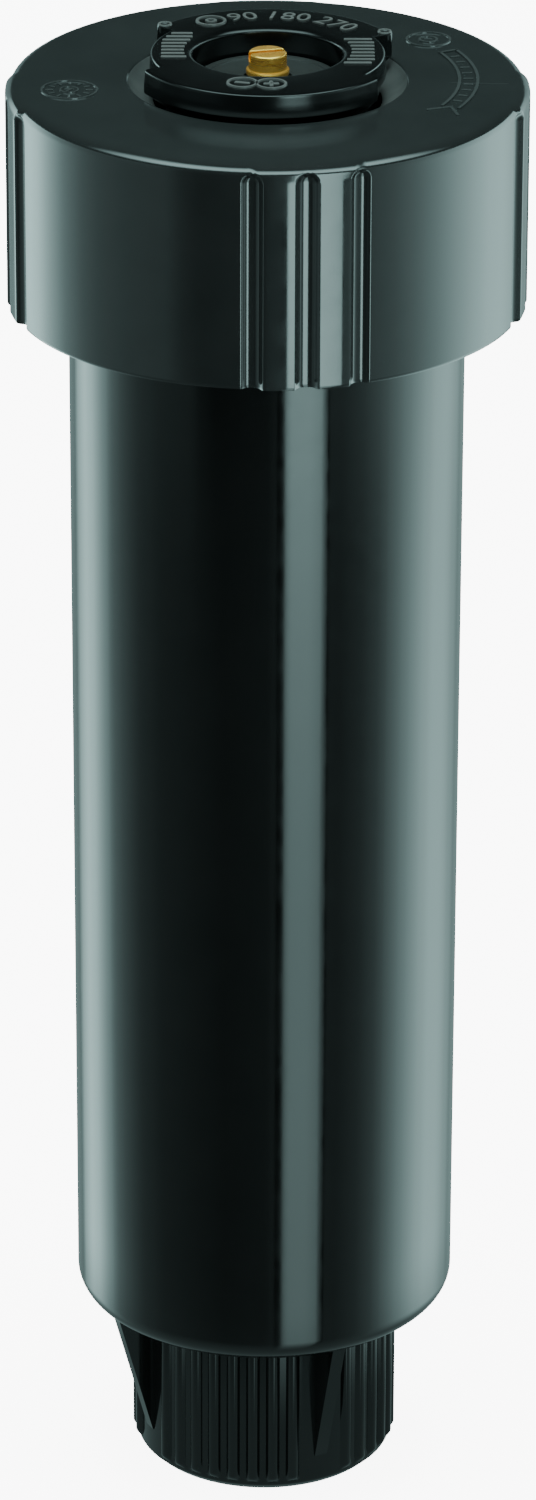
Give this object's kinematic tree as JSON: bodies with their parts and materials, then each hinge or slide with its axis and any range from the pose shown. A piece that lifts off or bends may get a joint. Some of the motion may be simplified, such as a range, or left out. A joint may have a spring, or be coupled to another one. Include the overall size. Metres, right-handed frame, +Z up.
{
  "type": "pop-up sprinkler",
  "caption": "Lawn sprinkler whose spray head rises out of a buried tube on water pressure and is pulled back by a spring; screw cap, ribbed threaded inlet.",
  "frame": {"origin": "centre of the inlet's open end, the lowest face of the sprinkler", "axes": "+Z up along the sprinkler's centre line from inlet to head; -Y is the side seen in front"},
  "size_m": [0.0578, 0.0578, 0.1726],
  "materials": {
    "body_plastic": "smooth glossy black moulded plastic",
    "cap_plastic": "satin dark green-grey moulded plastic",
    "head_plastic": "glossy black acetal",
    "hub_plastic": "satin mid-grey moulded plastic",
    "riser_plastic": "smooth black moulded plastic",
    "acetal": "natural white acetal",
    "rubber": "black moulded rubber",
    "screen_plastic": "blue-grey moulded plastic",
    "spring_steel": "drawn stainless wire and strip",
    "brass": "turned brass"
  },
  "bodies": {
    "case": {"body_case": "body_plastic", "rim_o_ring": "rubber"},
    "seal_carrier": {"seal_retainer": "acetal", "wiper_seal": "rubber", "retract_spring": "spring_steel"},
    "cap": {"cap": "cap_plastic"},
    "ratchet": {"ratchet_ring": "acetal"},
    "riser": {"riser_stem": "riser_plastic", "seal_holder": "acetal", "check_valve_seal": "rubber", "spring_washer": "spring_steel", "filter_screen": "screen_plastic", "nozzle_gasket": "rubber", "nozzle_base": "head_plastic", "nozzle_hub": "hub_plastic", "screw_o_ring": "rubber"},
    "arc_collar": {"arc_ring": "head_plastic", "arc_ring_seal": "rubber"},
    "screw": {"adjusting_screw": "brass", "screw_clip": "spring_steel"},
    "throttle": {"throttle_nut": "acetal"}
  },
  "joints": [
    {"name": "cap_lift", "type": "slide", "parent": "case", "child": "seal_carrier", "axis": [0, 0, 1], "range_m": [0, 0.012]},
    {"name": "cap_turn", "type": "hinge", "parent": "seal_carrier", "child": "cap", "pos_m": [0, 0, 0.1565], "axis": [0, 0, 1], "range_deg": [0, 1440]},
    {"name": "pop_up", "type": "slide", "parent": "seal_carrier", "child": "ratchet", "axis": [0, 0, 1], "range_m": [0, 0.1], "stiffness_N_per_m": 180, "springref_m": -0.039, "deforming": ["retract_spring"]},
    {"name": "stem_turn", "type": "hinge", "parent": "ratchet", "child": "riser", "pos_m": [0, 0, 0.0319], "axis": [0, 0, 1], "continuous": true},
    {"name": "arc_ring_turn", "type": "hinge", "parent": "riser", "child": "arc_collar", "pos_m": [0, 0, 0.1671], "axis": [0, 0, 1], "range_deg": [0, 328]},
    {"name": "screw_turn", "type": "hinge", "parent": "riser", "child": "screw", "pos_m": [0, 0, 0.1695], "axis": [0, 0, -1], "range_deg": [0, 1440]},
    {"name": "throttle_slide", "type": "slide", "parent": "riser", "child": "throttle", "axis": [0, 0, 1], "range_m": [0, 0.0028]}
  ],
  "couplings": [
    {"joint": "cap_turn", "follows": "cap_lift", "rad_per_m": 2094.4},
    {"joint": "screw_turn", "follows": "throttle_slide", "rad_per_m": 8976}
  ]
}
